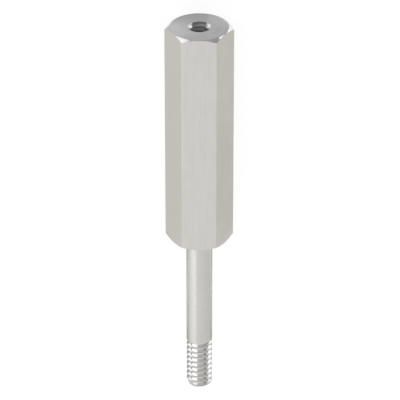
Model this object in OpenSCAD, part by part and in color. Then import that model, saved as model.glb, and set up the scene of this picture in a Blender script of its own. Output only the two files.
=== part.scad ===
// Hex standoff: a hexagonal pillar with a tapped hole in one end and, on the other,
// a plain round stud that is threaded at its tip. All of it is turned from one length
// of hexagonal bar.
//
// It lies on one flat of the hexagon. The origin is on the axis at the shoulder, where
// the stud leaves the pillar: the stud points along -Y and the tapped end faces +Y.

/* [Pillar] */
// Width of the hexagon across its flats
across_flats = 6.35; // [5:0.05:10]
// Length of the pillar, from its shoulder to its tapped end
pillar_length = 25.4; // [18:0.2:60]
// Distance from each flat in to the turned circle of an end face
chamfer_inset = 0.05; // [0.02:0.01:0.4]
// Slope of the turned chamfers, measured from the end faces
chamfer_angle = 30; // [15:1:45]

/* [Tapped hole] */
// Diameter of the tapping drill
hole_d = 1.86; // [1.2:0.02:2.6]
// Depth of the drilled hole, down to where its point begins
hole_depth = 11; // [4:0.5:15]
// Included angle of the drill's point
drill_point_angle = 118; // [90:1:140]
// Width of the countersink's rim around the hole, seen from the end
countersink_rim = 0.29; // [0.1:0.01:0.6]
// Included angle of the countersink
countersink_angle = 82; // [60:1:120]

/* [Stud] */
// Diameter of the plain shank
shank_d = 2.82; // [2.2:0.02:4]
// Length of the stud, from the shoulder to its tip
stud_length = 19.05; // [12:0.05:40]
// Length of its threaded end
thread_length = 5.9; // [3:0.1:10]
// Height and depth of the chamfer at the tip
tip_chamfer = 0.33; // [0.1:0.01:0.6]

/* [Stud thread] */
// Distance from one turn of the thread to the next
pitch = 0.635; // [0.45:0.005:0.8]
// Included angle between the two flanks of the groove
flank_angle = 60; // [50:1:70]
// Width of the crest that is left between two turns of the groove
crest_width = 0.08; // [0.04:0.01:0.12]
// Width of the flat at the root of the groove
root_width = 0.13; // [0.04:0.01:0.16]
// How far the crests lie below the surface of the shank
crest_drop = 0.01; // [0.005:0.005:0.04]
// Turns in which the groove grows from nothing to its full depth
run_out_turns = 0.5; // [0.25:0.25:2]
// Direction, round the stud, in which the groove begins
thread_start_angle = 150; // [0:5:355]

/* [Hidden] */

steel = [0.77, 0.76, 0.73];
round_fn = 96;
steps_per_turn = 32;
hexagon_sides = 6;

// The pillar: the hexagon's corners, and how far the chamfers fall away at them
corner_r = across_flats / 2 / cos(180 / hexagon_sides);
end_circle_r = across_flats / 2 - chamfer_inset;
turned_r = corner_r + chamfer_inset;
chamfer_height = (turned_r - end_circle_r) * tan(chamfer_angle);

// The tapped hole
hole_r = hole_d / 2;
countersink_depth = countersink_rim / tan(countersink_angle / 2);
drill_point_depth = hole_r / tan(drill_point_angle / 2);
// Tools that cut a face start this far outside it, and what is joined overlaps by as much
overlap = 0.3;

// The stud's thread: the groove is a trapezium, and its four corners in one pitch are the
// two edges of the crest and the two edges of the root
shank_length = stud_length - thread_length;
crest_r = shank_d / 2 - crest_drop;
flank_height = (pitch - crest_width - root_width) / 2;
groove_depth = flank_height / tan(flank_angle / 2);
corner_z = [0, crest_width, crest_width + flank_height, crest_width + flank_height + root_width];
corner_depth = [0, 0, groove_depth, groove_depth];
corners = len(corner_z);
// Whole turns: one is hidden in the shank, and one runs past the tip and is cut off there
hidden_turns = 1 + ceil(overlap / pitch);
turns = hidden_turns + ceil(thread_length / pitch) + 1;

module chamfered_pillar() {
    intersection() {
        cylinder(h = pillar_length, r = corner_r, $fn = hexagon_sides);
        rotate_extrude($fn = round_fn)
            polygon([
                [0, 0],
                [end_circle_r, 0],
                [turned_r, chamfer_height],
                [turned_r, pillar_length - chamfer_height],
                [end_circle_r, pillar_length],
                [0, pillar_length]
            ]);
    }
}

// Bored downwards from z = 0
module tapping_hole() {
    rotate_extrude($fn = round_fn)
        polygon([
            [0, -hole_depth - drill_point_depth],
            [hole_r, -hole_depth],
            [hole_r, -countersink_depth],
            [hole_r + countersink_rim, 0],
            [hole_r + countersink_rim, overlap],
            [0, overlap]
        ]);
}

// Number of the point at a corner of the groove, so many steps along the helix. The corner
// after the last one is the first corner of the next turn.
function point_number(step, corner) =
    (step + floor(corner / corners) * steps_per_turn) * corners + corner % corners;

// The groove's depth as a share of its full depth. It grows over the run-out, from where
// the groove's lower edge first reaches the end of the shank.
function groove_growth(step) =
    max(0, min(1, (step / steps_per_turn - hidden_turns + 1) / run_out_turns));

// The threaded end as one closed skin along a right-hand helix, upwards from the shank
module threaded_rod() {
    all_steps = turns * steps_per_turn;
    start_z = shank_length - hidden_turns * pitch;
    skin = [
        for (step = [0 : all_steps + steps_per_turn], corner = [0 : corners - 1])
        let (
            angle = thread_start_angle + 360 * step / steps_per_turn,
            r = crest_r - corner_depth[corner] * groove_growth(step),
            z = start_z + pitch * step / steps_per_turn + corner_z[corner]
        )
        [r * cos(angle), r * sin(angle), z]
    ];
    lower_centre = len(skin);
    upper_centre = lower_centre + 1;
    sides = [
        for (step = [0 : all_steps - 1], corner = [0 : corners - 1])
        let (
            a = point_number(step, corner),
            b = point_number(step + 1, corner),
            c = point_number(step + 1, corner + 1),
            d = point_number(step, corner + 1)
        )
        each [[a, c, b], [a, d, c]]
    ];
    polyhedron(
        points = concat(skin, [[0, 0, start_z], [0, 0, start_z + (turns + 1) * pitch]]),
        faces = concat(
            sides,
            end_cap(0, lower_centre),
            [for (face = end_cap(all_steps, upper_centre)) [face[0], face[2], face[1]]]
        )
    );
}

// A fan of faces from the centre of an end to the last turn of the helix and its step
function end_cap(first_step, centre) = concat(
    [
        for (step = [first_step : first_step + steps_per_turn - 1])
        [centre, point_number(step, 0), point_number(step + 1, 0)]
    ],
    [
        for (corner = [corners - 1 : -1 : 0])
        [centre, point_number(first_step, corner + 1), point_number(first_step, corner)]
    ]
);

// Everything that the turning tool leaves of the threaded end: its chamfered tip
module tip_envelope() {
    clear_r = crest_r + overlap;
    rotate_extrude($fn = round_fn)
        polygon([
            [0, 0],
            [clear_r, 0],
            [clear_r, stud_length - tip_chamfer - overlap],
            [crest_r - tip_chamfer, stud_length],
            [0, stud_length]
        ]);
}

module stud() {
    translate([0, 0, -overlap])
        cylinder(h = shank_length + overlap, d = shank_d, $fn = round_fn);
    intersection() {
        threaded_rod();
        tip_envelope();
    }
}

module standoff() {
    color(steel) {
        rotate([-90, 0, 0])
            difference() {
                chamfered_pillar();
                translate([0, 0, pillar_length]) tapping_hole();
            }
        rotate([90, 0, 0]) stud();
    }
}

standoff();
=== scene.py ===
from math import atan2, cos, floor, hypot, pi, radians, sin, tan

import bmesh
import bpy
from mathutils import Matrix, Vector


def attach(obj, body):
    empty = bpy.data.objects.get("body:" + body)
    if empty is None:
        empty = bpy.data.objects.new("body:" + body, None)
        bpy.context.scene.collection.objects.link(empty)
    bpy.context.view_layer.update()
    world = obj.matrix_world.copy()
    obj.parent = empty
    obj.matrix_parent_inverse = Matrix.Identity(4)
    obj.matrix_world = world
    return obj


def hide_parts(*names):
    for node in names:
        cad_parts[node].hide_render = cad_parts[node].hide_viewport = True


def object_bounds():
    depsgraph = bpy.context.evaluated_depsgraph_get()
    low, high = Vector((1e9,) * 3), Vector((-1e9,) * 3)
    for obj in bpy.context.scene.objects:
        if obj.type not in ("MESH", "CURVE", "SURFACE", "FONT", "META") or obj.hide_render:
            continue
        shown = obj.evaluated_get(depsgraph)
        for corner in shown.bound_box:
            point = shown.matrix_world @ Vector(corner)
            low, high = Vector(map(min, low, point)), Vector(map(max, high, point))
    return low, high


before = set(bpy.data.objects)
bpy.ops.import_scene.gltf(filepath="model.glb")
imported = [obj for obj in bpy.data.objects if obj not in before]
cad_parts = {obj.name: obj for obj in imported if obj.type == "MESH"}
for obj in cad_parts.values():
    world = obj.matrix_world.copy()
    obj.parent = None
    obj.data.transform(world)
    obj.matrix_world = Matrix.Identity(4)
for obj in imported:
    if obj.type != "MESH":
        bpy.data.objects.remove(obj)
cad_low, cad_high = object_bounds()

# ---------------------------------------------------------------------------------------
# The standoff
# One length of hexagonal stainless bar, turned on a lathe: the stud with its thread, the
# shoulder and the chamfered end face are cut from it, and the hole is drilled, countersunk
# and tapped. The flats keep the surface that the drawing die left on the bar.
# ---------------------------------------------------------------------------------------

# Sizes are in millimetres. The lathe's axis is Z while the part is made, with the shoulder
# at zero: the stud reaches down from it and the pillar reaches up. Every ring round the axis
# has one vertex in each column.
MM = 0.001
COLUMNS = 96
COLUMN = 2 * pi / COLUMNS
MERGED = 0.001
ON_THE_CUT = 0.000001
SHARP_BEND = radians(30)
THREAD_BREAK = 0.016
FLATS, TURNED, CHAMFER, SHANK, THREAD, COUNTERSINK, BORE = range(7)


def break_edges(bm, edges, offset, segments):
    """Takes the sharpness off edges."""
    bmesh.ops.bevel(
        bm, geom=edges, affect="EDGES", offset=offset, offset_type="OFFSET", segments=segments,
        profile=0.5, material=-1, clamp_overlap=True,
    )


def thread_outline(pitch, crest, root, depth):
    """One pitch of a thread: its crest, a flank, its root and the other flank."""
    flank = (pitch - crest - root) / 2
    return [(0, 0), (crest, 0), (crest + flank, depth), (crest + flank + root, depth), (pitch, 0)]


def wound_thread(r, outline, turns, top, angle, growth, trim):
    """Winds a thread's outline down a right-hand helix. The outline is a list of (z, depth),
    growth(turn) is how much of its depth it has so many turns from the top, and trim(r, z)
    is what the chamfer leaves of a radius."""
    pitch = outline[-1][0]
    bm = bmesh.new()
    verts = [bm.verts.new((r - depth, 0, top - z)) for z, depth in outline]
    edges = [bm.edges.new(pair) for pair in zip(verts, verts[1:])]
    bmesh.ops.rotate(bm, verts=verts, cent=(0, 0, 0), matrix=Matrix.Rotation(angle, 3, "Z"))
    bmesh.ops.spin(
        bm, geom=verts + edges, cent=(0, 0, 0), axis=(0, 0, 1), angle=-2 * pi * turns,
        steps=COLUMNS * turns, dvec=(0, 0, -pitch / COLUMNS), use_merge=False,
    )
    bmesh.ops.remove_doubles(bm, verts=bm.verts, dist=MERGED)
    bends = [e for e in bm.edges if len(e.link_faces) == 2 and e.calc_face_angle() > SHARP_BEND]
    break_edges(bm, bends, THREAD_BREAK, segments=2)
    for v in bm.verts:
        here = hypot(v.co.x, v.co.y)
        share = (angle - atan2(v.co.y, v.co.x)) / (2 * pi) % 1
        turn = share + floor((top - v.co.z) / pitch - share + MERGED)
        wanted = trim(r + (here - r) * growth(turn), v.co.z)
        v.co.xy *= wanted / here
    return bm


def cut_square(bm, z, keep):
    """Cuts a skin square to the axis at z and returns its rim. keep is 1 for what lies above
    the cut and -1 for what lies below."""
    made = bmesh.ops.bisect_plane(
        bm, geom=bm.verts[:] + bm.edges[:] + bm.faces[:], dist=ON_THE_CUT,
        plane_co=(0, 0, z), plane_no=(0, 0, -keep), clear_outer=True,
    )
    return [g for g in made["geom_cut"] if isinstance(g, bmesh.types.BMEdge)]


def next_ring(bm, rim, r, z, finish):
    """Extrudes a rim to a new ring. Its radius and height are numbers, or functions of the
    angle round the axis."""
    made = bmesh.ops.extrude_edge_only(bm, edges=rim)["geom"]
    ring = [g for g in made if isinstance(g, bmesh.types.BMVert)]
    for f in made:
        if isinstance(f, bmesh.types.BMFace):
            f.material_index = finish
    for v in ring:
        angle = round(atan2(v.co.y, v.co.x) / COLUMN) * COLUMN
        here = r(angle) if callable(r) else r
        v.co = (here * cos(angle), here * sin(angle), z(angle) if callable(z) else z)
    bmesh.ops.remove_doubles(bm, verts=ring, dist=MERGED)
    ring = {v for v in ring if v.is_valid}
    return [e for v in ring for e in v.link_edges if e.other_vert(v) in ring and e.verts[0] == v]


def close_ring(bm, rim, finish):
    """Closes a small ring at the axis with one face."""
    for f in bmesh.ops.contextual_create(bm, geom=rim)["faces"]:
        f.material_index = finish


def put_in_scene(name, bm):
    """Makes an object of a finished bmesh and puts it in the scene."""
    made = bpy.data.objects.new(name, bpy.data.meshes.new(name))
    bm.to_mesh(made.data)
    bm.free()
    bpy.context.scene.collection.objects.link(made)
    return made


# The stud's thread: wound from above the end of the shank to beyond the tip, trimmed to the
# tip's chamfer, and cut off there
stud_tip = cad_low.y / MM
thread_length = 5.9
thread_top = stud_tip + thread_length
crest_r = 1.40
tip_chamfer = 0.33
tip_face_r = 1.0
tip_centre_r = 0.1
stud_pitch = 0.635
stud_thread = thread_outline(stud_pitch, crest=0.08, root=0.13, depth=0.368)
stud_turns = 12
spare_turns = 2
groove_start = 1
run_out = 0.5
stud_angle = radians(-150)


def stud_growth(turn):
    return min(max((turn - groove_start) / run_out, 0), 1)


def trim_tip(r, z):
    return min(r, crest_r - tip_chamfer + max(z - stud_tip, 0))


bm = wound_thread(
    crest_r, stud_thread, stud_turns, thread_top + spare_turns * stud_pitch, stud_angle,
    stud_growth, trim_tip,
)
for f in bm.faces:
    f.material_index = THREAD
rim = cut_square(bm, stud_tip, 1)
rim = next_ring(bm, rim, tip_face_r, stud_tip, TURNED)
rim = next_ring(bm, rim, tip_centre_r, stud_tip, TURNED)
close_ring(bm, rim, TURNED)

# The plain shank, and the small fillet that the tool leaves where it meets the shoulder
shank_r = 1.41
shank_fillet = 0.08
FILLET_STEPS = 3

rim = cut_square(bm, thread_top, -1)
rim = next_ring(bm, rim, shank_r, thread_top, SHANK)
rim = next_ring(bm, rim, shank_r, -shank_fillet, SHANK)
for step in range(1, FILLET_STEPS + 1):
    turn = pi / 2 * step / FILLET_STEPS
    ring_r = shank_r + shank_fillet * (1 - cos(turn))
    rim = next_ring(bm, rim, ring_r, -shank_fillet * (1 - sin(turn)), SHANK)

# The pillar: a hexagon whose corners are turned away at both ends, from a circle that lies
# just inside the flats
SIDES = 6
flat_r = (cad_high.z - cad_low.z) / 2 / MM
pillar_top = cad_high.y / MM
chamfer_inset = 0.05
chamfer_slope = tan(radians(30))
face_r = flat_r - chamfer_inset


def hexagon_r(angle):
    return flat_r / cos(angle % (2 * pi / SIDES) - pi / SIDES)


def lower_chamfer(angle):
    return (hexagon_r(angle) - face_r) * chamfer_slope


def upper_chamfer(angle):
    return pillar_top - lower_chamfer(angle)


rim = next_ring(bm, rim, face_r, 0, TURNED)
rim = next_ring(bm, rim, hexagon_r, lower_chamfer, CHAMFER)
rim = next_ring(bm, rim, hexagon_r, upper_chamfer, FLATS)
rim = next_ring(bm, rim, face_r, pillar_top, CHAMFER)

# The countersunk hole, tapped for most of its depth. Its thread starts just below the
# countersink, which steepens a little towards the bore, as a worn tool leaves it.
hole_r = 0.93
hole_depth = 11.0
drill_slope = tan(radians(59))
drill_point_r = 0.02
bore_land = 0.005
countersink_rim = 0.29
countersink_angles = [radians(36), radians(39), radians(42), radians(45)]
countersink_step = countersink_rim / len(countersink_angles)
countersink_seam = 0.03
tapped_depth = 9.0
hole_pitch = 0.4536
hole_thread = thread_outline(hole_pitch, crest=0.2, root=0.0536, depth=-0.162)
hole_turns = 21
first_turn, last_turn = 1.3, 20
lead_in, lead_out = 3, 2.5

hole_top = pillar_top - sum(countersink_step / tan(angle) for angle in countersink_angles)
seam_r = hole_r + countersink_rim + countersink_seam
rim = next_ring(bm, rim, seam_r, pillar_top, TURNED)


def hole_growth(turn):
    return min(max((turn - first_turn) / lead_in, 0), max((last_turn - turn) / lead_out, 0), 1)


def untrimmed(r, z):
    return r


hole = wound_thread(
    hole_r, hole_thread, hole_turns, pillar_top + hole_pitch, 0, hole_growth, untrimmed
)
for f in hole.faces:
    f.material_index = BORE
low = cut_square(hole, pillar_top - tapped_depth, 1)
low = next_ring(hole, low, hole_r, pillar_top - hole_depth, BORE)
point = pillar_top - hole_depth - hole_r / drill_slope
low = next_ring(hole, low, drill_point_r, point, BORE)
close_ring(hole, low, BORE)
high = cut_square(hole, hole_top, -1)
high = next_ring(hole, high, hole_r, hole_top + bore_land, BORE)
ring_r, ring_z = hole_r, hole_top
for angle in countersink_angles:
    ring_r += countersink_step
    ring_z += countersink_step / tan(angle)
    high = next_ring(hole, high, ring_r, ring_z, COUNTERSINK)
next_ring(hole, high, seam_r, pillar_top, TURNED)
skin = bpy.data.meshes.new("hole_skin")
hole.to_mesh(skin)
hole.free()
bm.from_mesh(skin)
bpy.data.meshes.remove(skin)
bmesh.ops.remove_doubles(bm, verts=bm.verts, dist=MERGED / 2)

# Edge breaks: the bar's long corners, then the rims of the chamfers
long_corner_break = 0.04
rim_break = 0.02
hard_edge = radians(40)
for f in bm.faces:
    f.smooth = True
long_corners = [
    e for e in bm.edges if e.calc_length() > pillar_top / 2 and e.calc_face_angle() > SHARP_BEND
]
break_edges(bm, long_corners, long_corner_break, segments=3)
rims = [
    e for e in bm.edges
    if {f.material_index for f in e.link_faces} in ({FLATS, CHAMFER}, {CHAMFER, TURNED})
]
break_edges(bm, rims, rim_break, segments=2)
bmesh.ops.recalc_face_normals(bm, faces=bm.faces)

# From the lathe's axis to the way the part lies: +Z turns to +Y
bmesh.ops.rotate(bm, verts=bm.verts, cent=(0, 0, 0), matrix=Matrix.Rotation(-pi / 2, 3, "X"))
standoff = put_in_scene("standoff_body", bm)
mesh = standoff.data
mesh.set_sharp_from_angle(angle=hard_edge)
# The wide faces keep their own shading up to the edge breaks. This is done while the sizes
# are in millimetres, because in metres the areas are too small for it.
shading = standoff.modifiers.new("even_shading", "WEIGHTED_NORMAL")
shading.mode = "FACE_AREA"
shading.keep_sharp = True
bpy.context.view_layer.objects.active = standoff
bpy.ops.object.modifier_apply(modifier=shading.name)
mesh.transform(Matrix.Scale(MM, 4))

# Finishes. Grain is noise drawn out along the marks that the tool left: along the bar on the
# flats, and round the axis wherever the part was turned. GRAIN_LENGTH is how many times
# longer than wide it is on the flats, and GRAIN_ROUND how often it changes in a radian.
LENGTHWISE, ROUND_FACE, ROUND_STUD = range(3)
QUARTER_TURN = 0.25
GRAIN_LENGTH = 60
GRAIN_ROUND = 0.7
GRAIN_DETAIL, GRAIN_ROUGHNESS = 5, 0.62
CLOUD_SIZE = 2.2
CLOUD_SHARE = 0.35
CLOUD_DETAIL, CLOUD_ROUGHNESS = 3, 0.55
NOISE_LOW, NOISE_HIGH = 0.35, 0.65


def add(tree, kind, inputs, **settings):
    """Adds a node, sets its options, and fills its inputs with values or links."""
    node = tree.nodes.new(kind)
    for name, value in settings.items():
        setattr(node, name, value)
    for key, value in inputs.items():
        if isinstance(value, bpy.types.NodeSocket):
            tree.links.new(value, node.inputs[key])
        else:
            node.inputs[key].default_value = value
    return node


def grey_ramp(tree, factor, stops):
    """A ramp of greys. Each of its stops is a position and a value."""
    ramp = add(tree, "ShaderNodeValToRGB", {"Fac": factor})
    elements = ramp.color_ramp.elements
    elements[0].position, elements[1].position = stops[0][0], stops[-1][0]
    for position, _ in stops[1:-1]:
        elements.new(position)
    for element, (_, value) in zip(elements, stops):
        element.color = (value, value, value, 1)
    return ramp.outputs["Color"]


def steel(
    name, dull, bright, roughness, grain, lines, relief, painted_shade_stops, tint_at_edge=0.80, anisotropic=0.0
):
    """One finish of the steel. Its colour lies between dull and bright and its roughness
    within a range, both along a grain with so many lines to the millimetre and a relief in
    millimetres. Each of the painted shade stops is a distance from the axis and a share of
    the colour: painted shade that darkens the colour where shading falls, at the hex corners,
    the end face's rim, the shank's fillet, the thread's crests and the hole thread's roots."""
    material = bpy.data.materials.new(name)
    material.use_nodes = True
    tree = material.node_tree
    shader = tree.nodes["Principled BSDF"]
    shader.inputs["Metallic"].default_value = 1
    shader.inputs["Anisotropic"].default_value = anisotropic
    turned = 0 if grain == LENGTHWISE else QUARTER_TURN
    shader.inputs["Anisotropic Rotation"].default_value = turned
    shader.inputs["Specular Tint"].default_value = (tint_at_edge, tint_at_edge, tint_at_edge, 1)

    # Millimetres from the origin, distance from the axis, and angle round it
    place = add(tree, "ShaderNodeTexCoord", {}).outputs["Object"]
    place = add(tree, "ShaderNodeMapping", {"Vector": place, "Scale": (1 / MM, 1 / MM, 1 / MM)})
    place = place.outputs["Vector"]
    part = add(tree, "ShaderNodeSeparateXYZ", {0: place}).outputs
    across = add(tree, "ShaderNodeCombineXYZ", {"X": part["X"], "Z": part["Z"]}).outputs["Vector"]
    radius = add(tree, "ShaderNodeVectorMath", {0: across}, operation="LENGTH").outputs["Value"]
    angle = add(tree, "ShaderNodeMath", {0: part["Z"], 1: part["X"]}, operation="ARCTAN2").outputs[0]
    if grain == LENGTHWISE:
        along_marks = place
        stretch = (lines, lines / GRAIN_LENGTH, lines)
    else:
        marks = {"X": part["Y"] if grain == ROUND_STUD else radius, "Y": angle}
        along_marks = add(tree, "ShaderNodeCombineXYZ", marks).outputs["Vector"]
        stretch = (lines, GRAIN_ROUND, 1)
    drawn_out = add(tree, "ShaderNodeMapping", {"Vector": along_marks, "Scale": stretch})
    fine = add(tree, "ShaderNodeTexNoise", {
        "Vector": drawn_out.outputs["Vector"], "Scale": 1,
        "Detail": GRAIN_DETAIL, "Roughness": GRAIN_ROUGHNESS,
    }).outputs["Fac"]
    # Wider, fainter clouds, as handling leaves them
    clouds = add(tree, "ShaderNodeTexNoise", {
        "Vector": place, "Scale": 1 / CLOUD_SIZE,
        "Detail": CLOUD_DETAIL, "Roughness": CLOUD_ROUGHNESS,
    }).outputs["Fac"]
    both = add(
        tree, "ShaderNodeMix", {"Factor": CLOUD_SHARE, "A": fine, "B": clouds}
    ).outputs["Result"]
    spread = add(
        tree, "ShaderNodeMapRange", {"Value": both, "From Min": NOISE_LOW, "From Max": NOISE_HIGH}
    ).outputs["Result"]
    colour = add(
        tree, "ShaderNodeMix", {"Factor": spread, "A": (*dull, 1), "B": (*bright, 1)},
        data_type="RGBA",
    ).outputs[2]
    # Painted shade by distance from the axis: the colour is darkened where shading falls, at the
    #     # hex corners, the end face's rim, the shank's fillet, the thread's crests and the roots of
    #     # the hole's thread
    reach = painted_shade_stops[-1][0]
    share = add(tree, "ShaderNodeMapRange", {"Value": radius, "From Max": reach}).outputs["Result"]
    tint = grey_ramp(tree, share, [(distance / reach, value) for distance, value in painted_shade_stops])
    colour = add(
        tree, "ShaderNodeMix", {"Factor": 1, "A": colour, "B": tint},
        data_type="RGBA", blend_type="MULTIPLY",
    ).outputs[2]
    rough = add(
        tree, "ShaderNodeMapRange",
        {"Value": spread, "To Min": roughness[1], "To Max": roughness[0]},
    ).outputs["Result"]
    bump = add(tree, "ShaderNodeBump", {"Height": fine, "Distance": relief * MM, "Strength": 1})
    tree.links.new(colour, shader.inputs["Base Color"])
    tree.links.new(rough, shader.inputs["Roughness"])
    tree.links.new(bump.outputs["Normal"], shader.inputs["Normal"])
    if anisotropic:
        tangent = add(tree, "ShaderNodeTangent", {}, direction_type="RADIAL", axis="Y")
        tree.links.new(tangent.outputs["Tangent"], shader.inputs["Tangent"])
    return material


# In the order of the faces' numbers, FLATS to BORE
# The last stops of each finish are painted shade: darker hex corners, end-face rim, shank fillet,
# thread crests and hole-thread roots.
finishes = [
    steel(
        "drawn_flats", dull=(0.548, 0.535, 0.509), bright=(0.585, 0.573, 0.547),
        roughness=(0.34, 0.44), grain=LENGTHWISE, lines=9, relief=0.0006,
        painted_shade_stops=[(3.1, 1.0), (3.6, 1.0), (3.67, 0.97)], anisotropic=0.5,
    ),
    steel(
        "turned_face", dull=(0.50, 0.50, 0.505), bright=(0.59, 0.59, 0.595),
        roughness=(0.28, 0.36), grain=ROUND_FACE, lines=7, relief=0.0006,
        painted_shade_stops=[(1.22, 1.0), (3.05, 1.0), (3.13, 0.95)], anisotropic=0.8,
    ),
    # Painted highlight: the chamfers' colour is far brighter than the flats' steel, so that their
    # reflections read as white highlights.
    steel(
        "turned_chamfer", dull=(0.84, 0.84, 0.82), bright=(0.94, 0.94, 0.92),
        roughness=(0.12, 0.18), grain=ROUND_FACE, lines=7, relief=0.0003,
        painted_shade_stops=[(3.1, 1.0), (3.7, 1.0)], anisotropic=0.3,
    ),
    steel(
        "turned_shank", dull=(0.540, 0.530, 0.512), bright=(0.580, 0.570, 0.552),
        roughness=(0.26, 0.34), grain=ROUND_STUD, lines=9, relief=0.0004,
        painted_shade_stops=[(1.40, 1.0), (1.50, 0.9)], tint_at_edge=0.5, anisotropic=0.4,
    ),
    steel(
        "rolled_thread", dull=(0.62, 0.61, 0.60), bright=(0.67, 0.66, 0.65),
        roughness=(0.09, 0.15), grain=ROUND_STUD, lines=12, relief=0.0002,
        painted_shade_stops=[(1.0, 1.0), (1.35, 1.0), (1.39, 0.74)],
    ),
    # Painted highlight: the countersink's colour is far brighter than the flats' steel, so that its
    # flares read white.
    steel(
        "countersink_painted_bright", dull=(0.90, 0.90, 0.90), bright=(0.97, 0.97, 0.97),
        roughness=(0.10, 0.15), grain=ROUND_FACE, lines=9, relief=0.0003,
        painted_shade_stops=[(0.9, 1.0), (1.24, 1.0)],
    ),
    steel(
        "tapped_bore", dull=(0.62, 0.62, 0.62), bright=(0.70, 0.70, 0.70),
        roughness=(0.52, 0.62), grain=ROUND_STUD, lines=9, relief=0.0006,
        painted_shade_stops=[(0.90, 1.0), (0.95, 1.0), (1.09, 0.7)],
    ),
]
for finish in finishes:
    mesh.materials.append(finish)
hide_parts("standoff")
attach(standoff, "root")

# ---------------------------------------------------------------------------------------
# The floor
# A flat sheet of matt white card that the standoff lies on. The camera and the metal see it
# white, while it gives back little light of its own, so that it keeps a soft shadow.
# ---------------------------------------------------------------------------------------
FLOOR_REACH = 3
FLOOR_PAINT = 0.18
# What the paint lacks of white is added to it as a glow
FLOOR_WHITE = 1.02
TENT_LIGHT = 0.85
FLOOR_GLOW = FLOOR_WHITE - TENT_LIGHT * FLOOR_PAINT


def bare_material(name):
    """A new material with nothing in its tree yet."""
    material = bpy.data.materials.new(name)
    material.use_nodes = True
    material.node_tree.nodes.clear()
    return material


bm = bmesh.new()
bmesh.ops.create_grid(bm, x_segments=1, y_segments=1, size=FLOOR_REACH)
bmesh.ops.translate(bm, verts=bm.verts, vec=(0, 0, cad_low.z))
floor_sheet = put_in_scene("floor", bm)
material = bare_material("white_card")
tree = material.node_tree
path = add(tree, "ShaderNodeLightPath", {}).outputs
seen = path["Is Camera Ray"]
for ray in ("Is Glossy Ray", "Is Transmission Ray"):
    seen = add(tree, "ShaderNodeMath", {0: seen, 1: path[ray]}, operation="MAXIMUM").outputs[0]
level = add(tree, "ShaderNodeMath", {0: seen, 1: FLOOR_GLOW}, operation="MULTIPLY").outputs[0]
glow = add(tree, "ShaderNodeEmission", {"Strength": level}).outputs[0]
paint = (FLOOR_PAINT, FLOOR_PAINT, FLOOR_PAINT, 1)
paint = add(tree, "ShaderNodeBsdfDiffuse", {"Color": paint}).outputs[0]
both = add(tree, "ShaderNodeAddShader", {0: paint, 1: glow}).outputs[0]
add(tree, "ShaderNodeOutputMaterial", {"Surface": both})
floor_sheet.data.materials.append(material)

# ---------------------------------------------------------------------------------------
# The light tent
# A big round tent of thin white cloth, lit evenly from outside, that stands over the floor.
# It is a little brighter on one side, and a dark hoop of cloth runs across its front, which
# shows only as the dark wall of the countersink.
# ---------------------------------------------------------------------------------------
TENT_R = 5
TENT_SUBDIVISIONS = 4
# A ramp's colours end at 1, so the cloth's are halved there and doubled in its strength
HEADROOM = 2
side_stops = [(0, 1.0), (0.12, 1.05), (0.3, 1.08), (0.5, 1.05), (0.7, 1.0), (0.9, 0.97), (1, 0.85)]
hoop_axis = (0.05, 0.931, -0.365)
hoop_stops = [(0, 1), (0.2, 1), (0.34, 0.29), (0.56, 0.1), (0.66, 0.1), (0.84, 0.7), (1, 0.8)]

bm = bmesh.new()
bmesh.ops.create_icosphere(bm, subdivisions=TENT_SUBDIVISIONS, radius=TENT_R)
tent = put_in_scene("tent", bm)
tent.visible_camera = False
material = bare_material("tent_cloth")
tree = material.node_tree
where = add(tree, "ShaderNodeTexCoord", {}).outputs["Object"]
where = add(tree, "ShaderNodeVectorMath", {0: where}, operation="NORMALIZE").outputs["Vector"]
side = add(tree, "ShaderNodeSeparateXYZ", {0: where}).outputs["X"]
side = add(tree, "ShaderNodeMapRange", {"Value": side, "From Min": -1}).outputs["Result"]
cloth = grey_ramp(tree, side, [(position, value / HEADROOM) for position, value in side_stops])
ahead = add(tree, "ShaderNodeVectorMath", {0: where, 1: hoop_axis}, operation="DOT_PRODUCT")
hoop = grey_ramp(tree, ahead.outputs["Value"], hoop_stops)
level = add(tree, "ShaderNodeMath", {0: hoop, 1: HEADROOM}, operation="MULTIPLY").outputs[0]
light = add(tree, "ShaderNodeEmission", {"Color": cloth, "Strength": level}).outputs[0]
add(tree, "ShaderNodeOutputMaterial", {"Surface": light})
tent.data.materials.append(material)

# ---------------------------------------------------------------------------------------
# The cards
# Sheets of white and grey card, laid on the floor or stood round the standoff so that its
# bright faces read apart. Only the metal sees them. Their places are in millimetres, and
# where two lie over each other, the later one is on top.
# ---------------------------------------------------------------------------------------
WHITE = (1, 1, 1, 1)
WARM = (1.0, 0.975, 0.93, 1)
CARD_LIFT = 0.05
CARD_THICKNESS = 0.005
laid_cards = []


def card(name, corners, strength, colour=WHITE):
    """A flat card, with its corners as (x, y, z)."""
    bm = bmesh.new()
    bm.faces.new([bm.verts.new((x * MM, y * MM, z * MM)) for x, y, z in corners])
    sheet = put_in_scene(name, bm)
    sheet.visible_camera = False
    sheet.visible_diffuse = False
    sheet.visible_shadow = False
    material = bare_material(name)
    tree = material.node_tree
    light = add(tree, "ShaderNodeEmission", {"Color": colour, "Strength": strength}).outputs[0]
    add(tree, "ShaderNodeOutputMaterial", {"Surface": light})
    sheet.data.materials.append(material)


def laid_card(name, corners, strength, colour=WHITE):
    """A card that lies on the floor, with its corners as (x, y)."""
    z = cad_low.z / MM + CARD_LIFT + CARD_THICKNESS * len(laid_cards)
    laid_cards.append(name)
    card(name, [(x, y, z) for x, y in corners], strength, colour)


def curved_card(name, spans, distance, strength):
    """A card that stands curved round the standoff. Each span is an elevation and the two
    azimuths that the card reaches between, in degrees from +Y towards +X."""
    edges = []
    for elevation, *azimuths in spans:
        up, out = distance * sin(radians(elevation)), distance * cos(radians(elevation))
        edges.append([
            (out * sin(radians(azimuth)), out * cos(radians(azimuth)), up) for azimuth in azimuths
        ])
    for number, ((a, b), (d, c)) in enumerate(zip(edges, edges[1:])):
        card(name + "_" + str(number), [a, b, c, d], strength)


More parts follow.
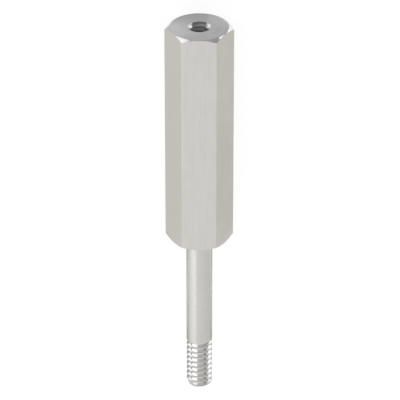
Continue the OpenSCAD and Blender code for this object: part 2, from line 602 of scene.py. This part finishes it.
# Under and in front of the end face
laid_card("face_rim_card", [(-3.3, 25.42), (3.9, 25.42), (3.9, 26.45), (-3.3, 26.45)], 0.68)
laid_card("face_card", [(-1, 26.5), (1.6, 26.5), (1.6, 28.6), (-1.8, 28.6), (-1.6, 27.8)], 0.77)
laid_card("face_right_card", [(1.6, 26.5), (3.9, 26.5), (3.9, 28.6), (1.6, 28.6)], 0.71)
laid_card("hole_shade_card", [(3.6, 27.3), (9.4, 30.3), (9.4, 33), (6.5, 31.9), (3.6, 30)], 0.50)
laid_card(
    "hole_rim_card", [(0.9, 25.7), (3.6, 26.1), (3.6, 26.8), (2.3, 26.4), (0.9, 26.05)], 1.0
)
laid_card("hole_flare_card", [(3.6, 26.4), (9.4, 29.2), (9.4, 30.2), (6.3, 28.5), (3.6, 27.1)], 1.3)
laid_card("face_left_card", [(-10, 25.8), (-3.9, 25.8), (-4.5, 34), (-11, 34)], 0.58)

# Further in front, for the chamfers and the sides of the countersink
laid_card(
    "front_card",
    [(-4, 32), (5, 32), (13.2, 43), (30, 58), (70, 110), (70, 145), (-15, 145), (-13, 90),
     (-18, 84)], 0.30,
)
laid_card("left_wedge_card", [(-22, 62), (-15, 62), (-16.6, 77.5), (-23, 77.5)], 0.72)
laid_card(
    "left_front_card",
    [(-23, 78), (-17, 78), (-19, 84), (-14, 90), (-15, 145), (-36, 145)], 0.5,
)
laid_card(
    "left_outer_front_card",
    [(-12.5, 31), (-600, 60), (-600, 560), (-60, 90), (-22, 52), (-16, 42)], 0.30,
)
laid_card(
    "right_front_card",
    [(9.5, 26), (600, 26), (600, 500), (90, 100), (33, 57), (22, 48), (16, 39), (9.5, 31)], 0.22,
)
FAR_Y, FAR_FOOT, FAR_TOP = 145, -3.1, 10
far_cards = [("far_left_card", -36, 10, 0.60), ("far_right_card", 10, 28, 0.48)]
for name, left, right, strength in far_cards:
    foot = [(left, FAR_Y, FAR_FOOT), (right, FAR_Y, FAR_FOOT)]
    top = [(right, FAR_Y, FAR_TOP), (left, FAR_Y, FAR_TOP)]
    card(name, foot + top, strength)

# Beside the flats
laid_card("right_card", [(6.3, -25), (40, -25), (40, 8), (6.3, 8)], 0.93, WARM)
laid_card("right_upper_card", [(6.3, 8), (40, 8), (40, 24), (6.3, 24)], 0.99, WARM)
laid_card("left_card", [(-19, -25), (-6.3, -25), (-6.3, 24), (-19, 24)], 0.88, WARM)
laid_card("left_outer_card", [(-40, -14), (-19, -14), (-19, 24), (-40, 24)], 0.90, WARM)

# Beside the stud, for the flanks and the crests of its thread
laid_card(
    "left_thread_card",
    [(-4, -15), (-4, -9.5), (-7.6, -4.5), (-8.8, -4.5), (-8.8, -9), (-6.6, -13), (-6.6, -15)], 1.55,
)
laid_card(
    "right_thread_card",
    [(4, -15), (6.6, -15), (6.6, -12), (9.4, -7), (9.4, -2), (7.8, -3.5), (4, -9.5)], 1.55,
)
laid_card("left_crest_card", [(-2.2, -22), (-3.9, -22), (-3.9, -10.5), (-2.2, -10.5)], 0.62)
laid_card("right_crest_card", [(2.2, -22), (3.9, -22), (3.9, -10.5), (2.2, -10.5)], 0.80)
laid_card(
    "left_outer_thread_card",
    [(-19, -16), (-19, -26), (-60, -36), (-120, -60), (-120, -16)], 1.35,
)
STANDING_DISTANCE = 400
curved_card(
    "left_curved_card",
    [(-0.4, -91, -108), (12, -92, -112), (24, -97, -117), (36, -106, -124), (46, -116, -132),
     (54, -126, -142)], STANDING_DISTANCE, 2.8,
)
curved_card("right_curved_card", [(-0.4, 86, 96), (14, 88, 97)], STANDING_DISTANCE, 2.2)
curved_card(
    "right_upper_curved_card", [(16, 88, 100), (24, 94, 106), (34, 98, 114)], STANDING_DISTANCE, 0.30
)

# ---------------------------------------------------------------------------------------
# The room
# Plain white all round, at a strength of 1, for whatever passes the tent.
# It is seen only behind the edge of the floor.
# ---------------------------------------------------------------------------------------
world = bpy.data.worlds.new("white_room")
world.use_nodes = True
world.node_tree.nodes["Background"].inputs["Color"].default_value = WHITE
world.node_tree.nodes["Background"].inputs["Strength"].default_value = 1
bpy.context.scene.world = world
bpy.context.scene.view_settings.view_transform = "Standard"

# ---------------------------------------------------------------------------------------
# The camera
# It stands in front of the tapped end and looks down along the standoff, so that the stud
# points to the bottom of the frame. Its lens is long, and its tilt is measured from
# straight down.
# ---------------------------------------------------------------------------------------
camera_tilt = radians(30.38)
camera_distance = 336.1 * MM
aim_x = 0.075 * MM
aim_y = 4.44 * MM
camera_data = bpy.data.cameras.new("camera")
camera_data.sensor_width = 36
camera_data.lens = 280.6
camera_data.clip_start = 0.01
camera = bpy.data.objects.new("camera", camera_data)
camera.location = (
    aim_x, aim_y + camera_distance * sin(camera_tilt), camera_distance * cos(camera_tilt)
)
camera.rotation_euler = (-camera_tilt, 0, 0)
bpy.context.scene.collection.objects.link(camera)
bpy.context.scene.camera = camera
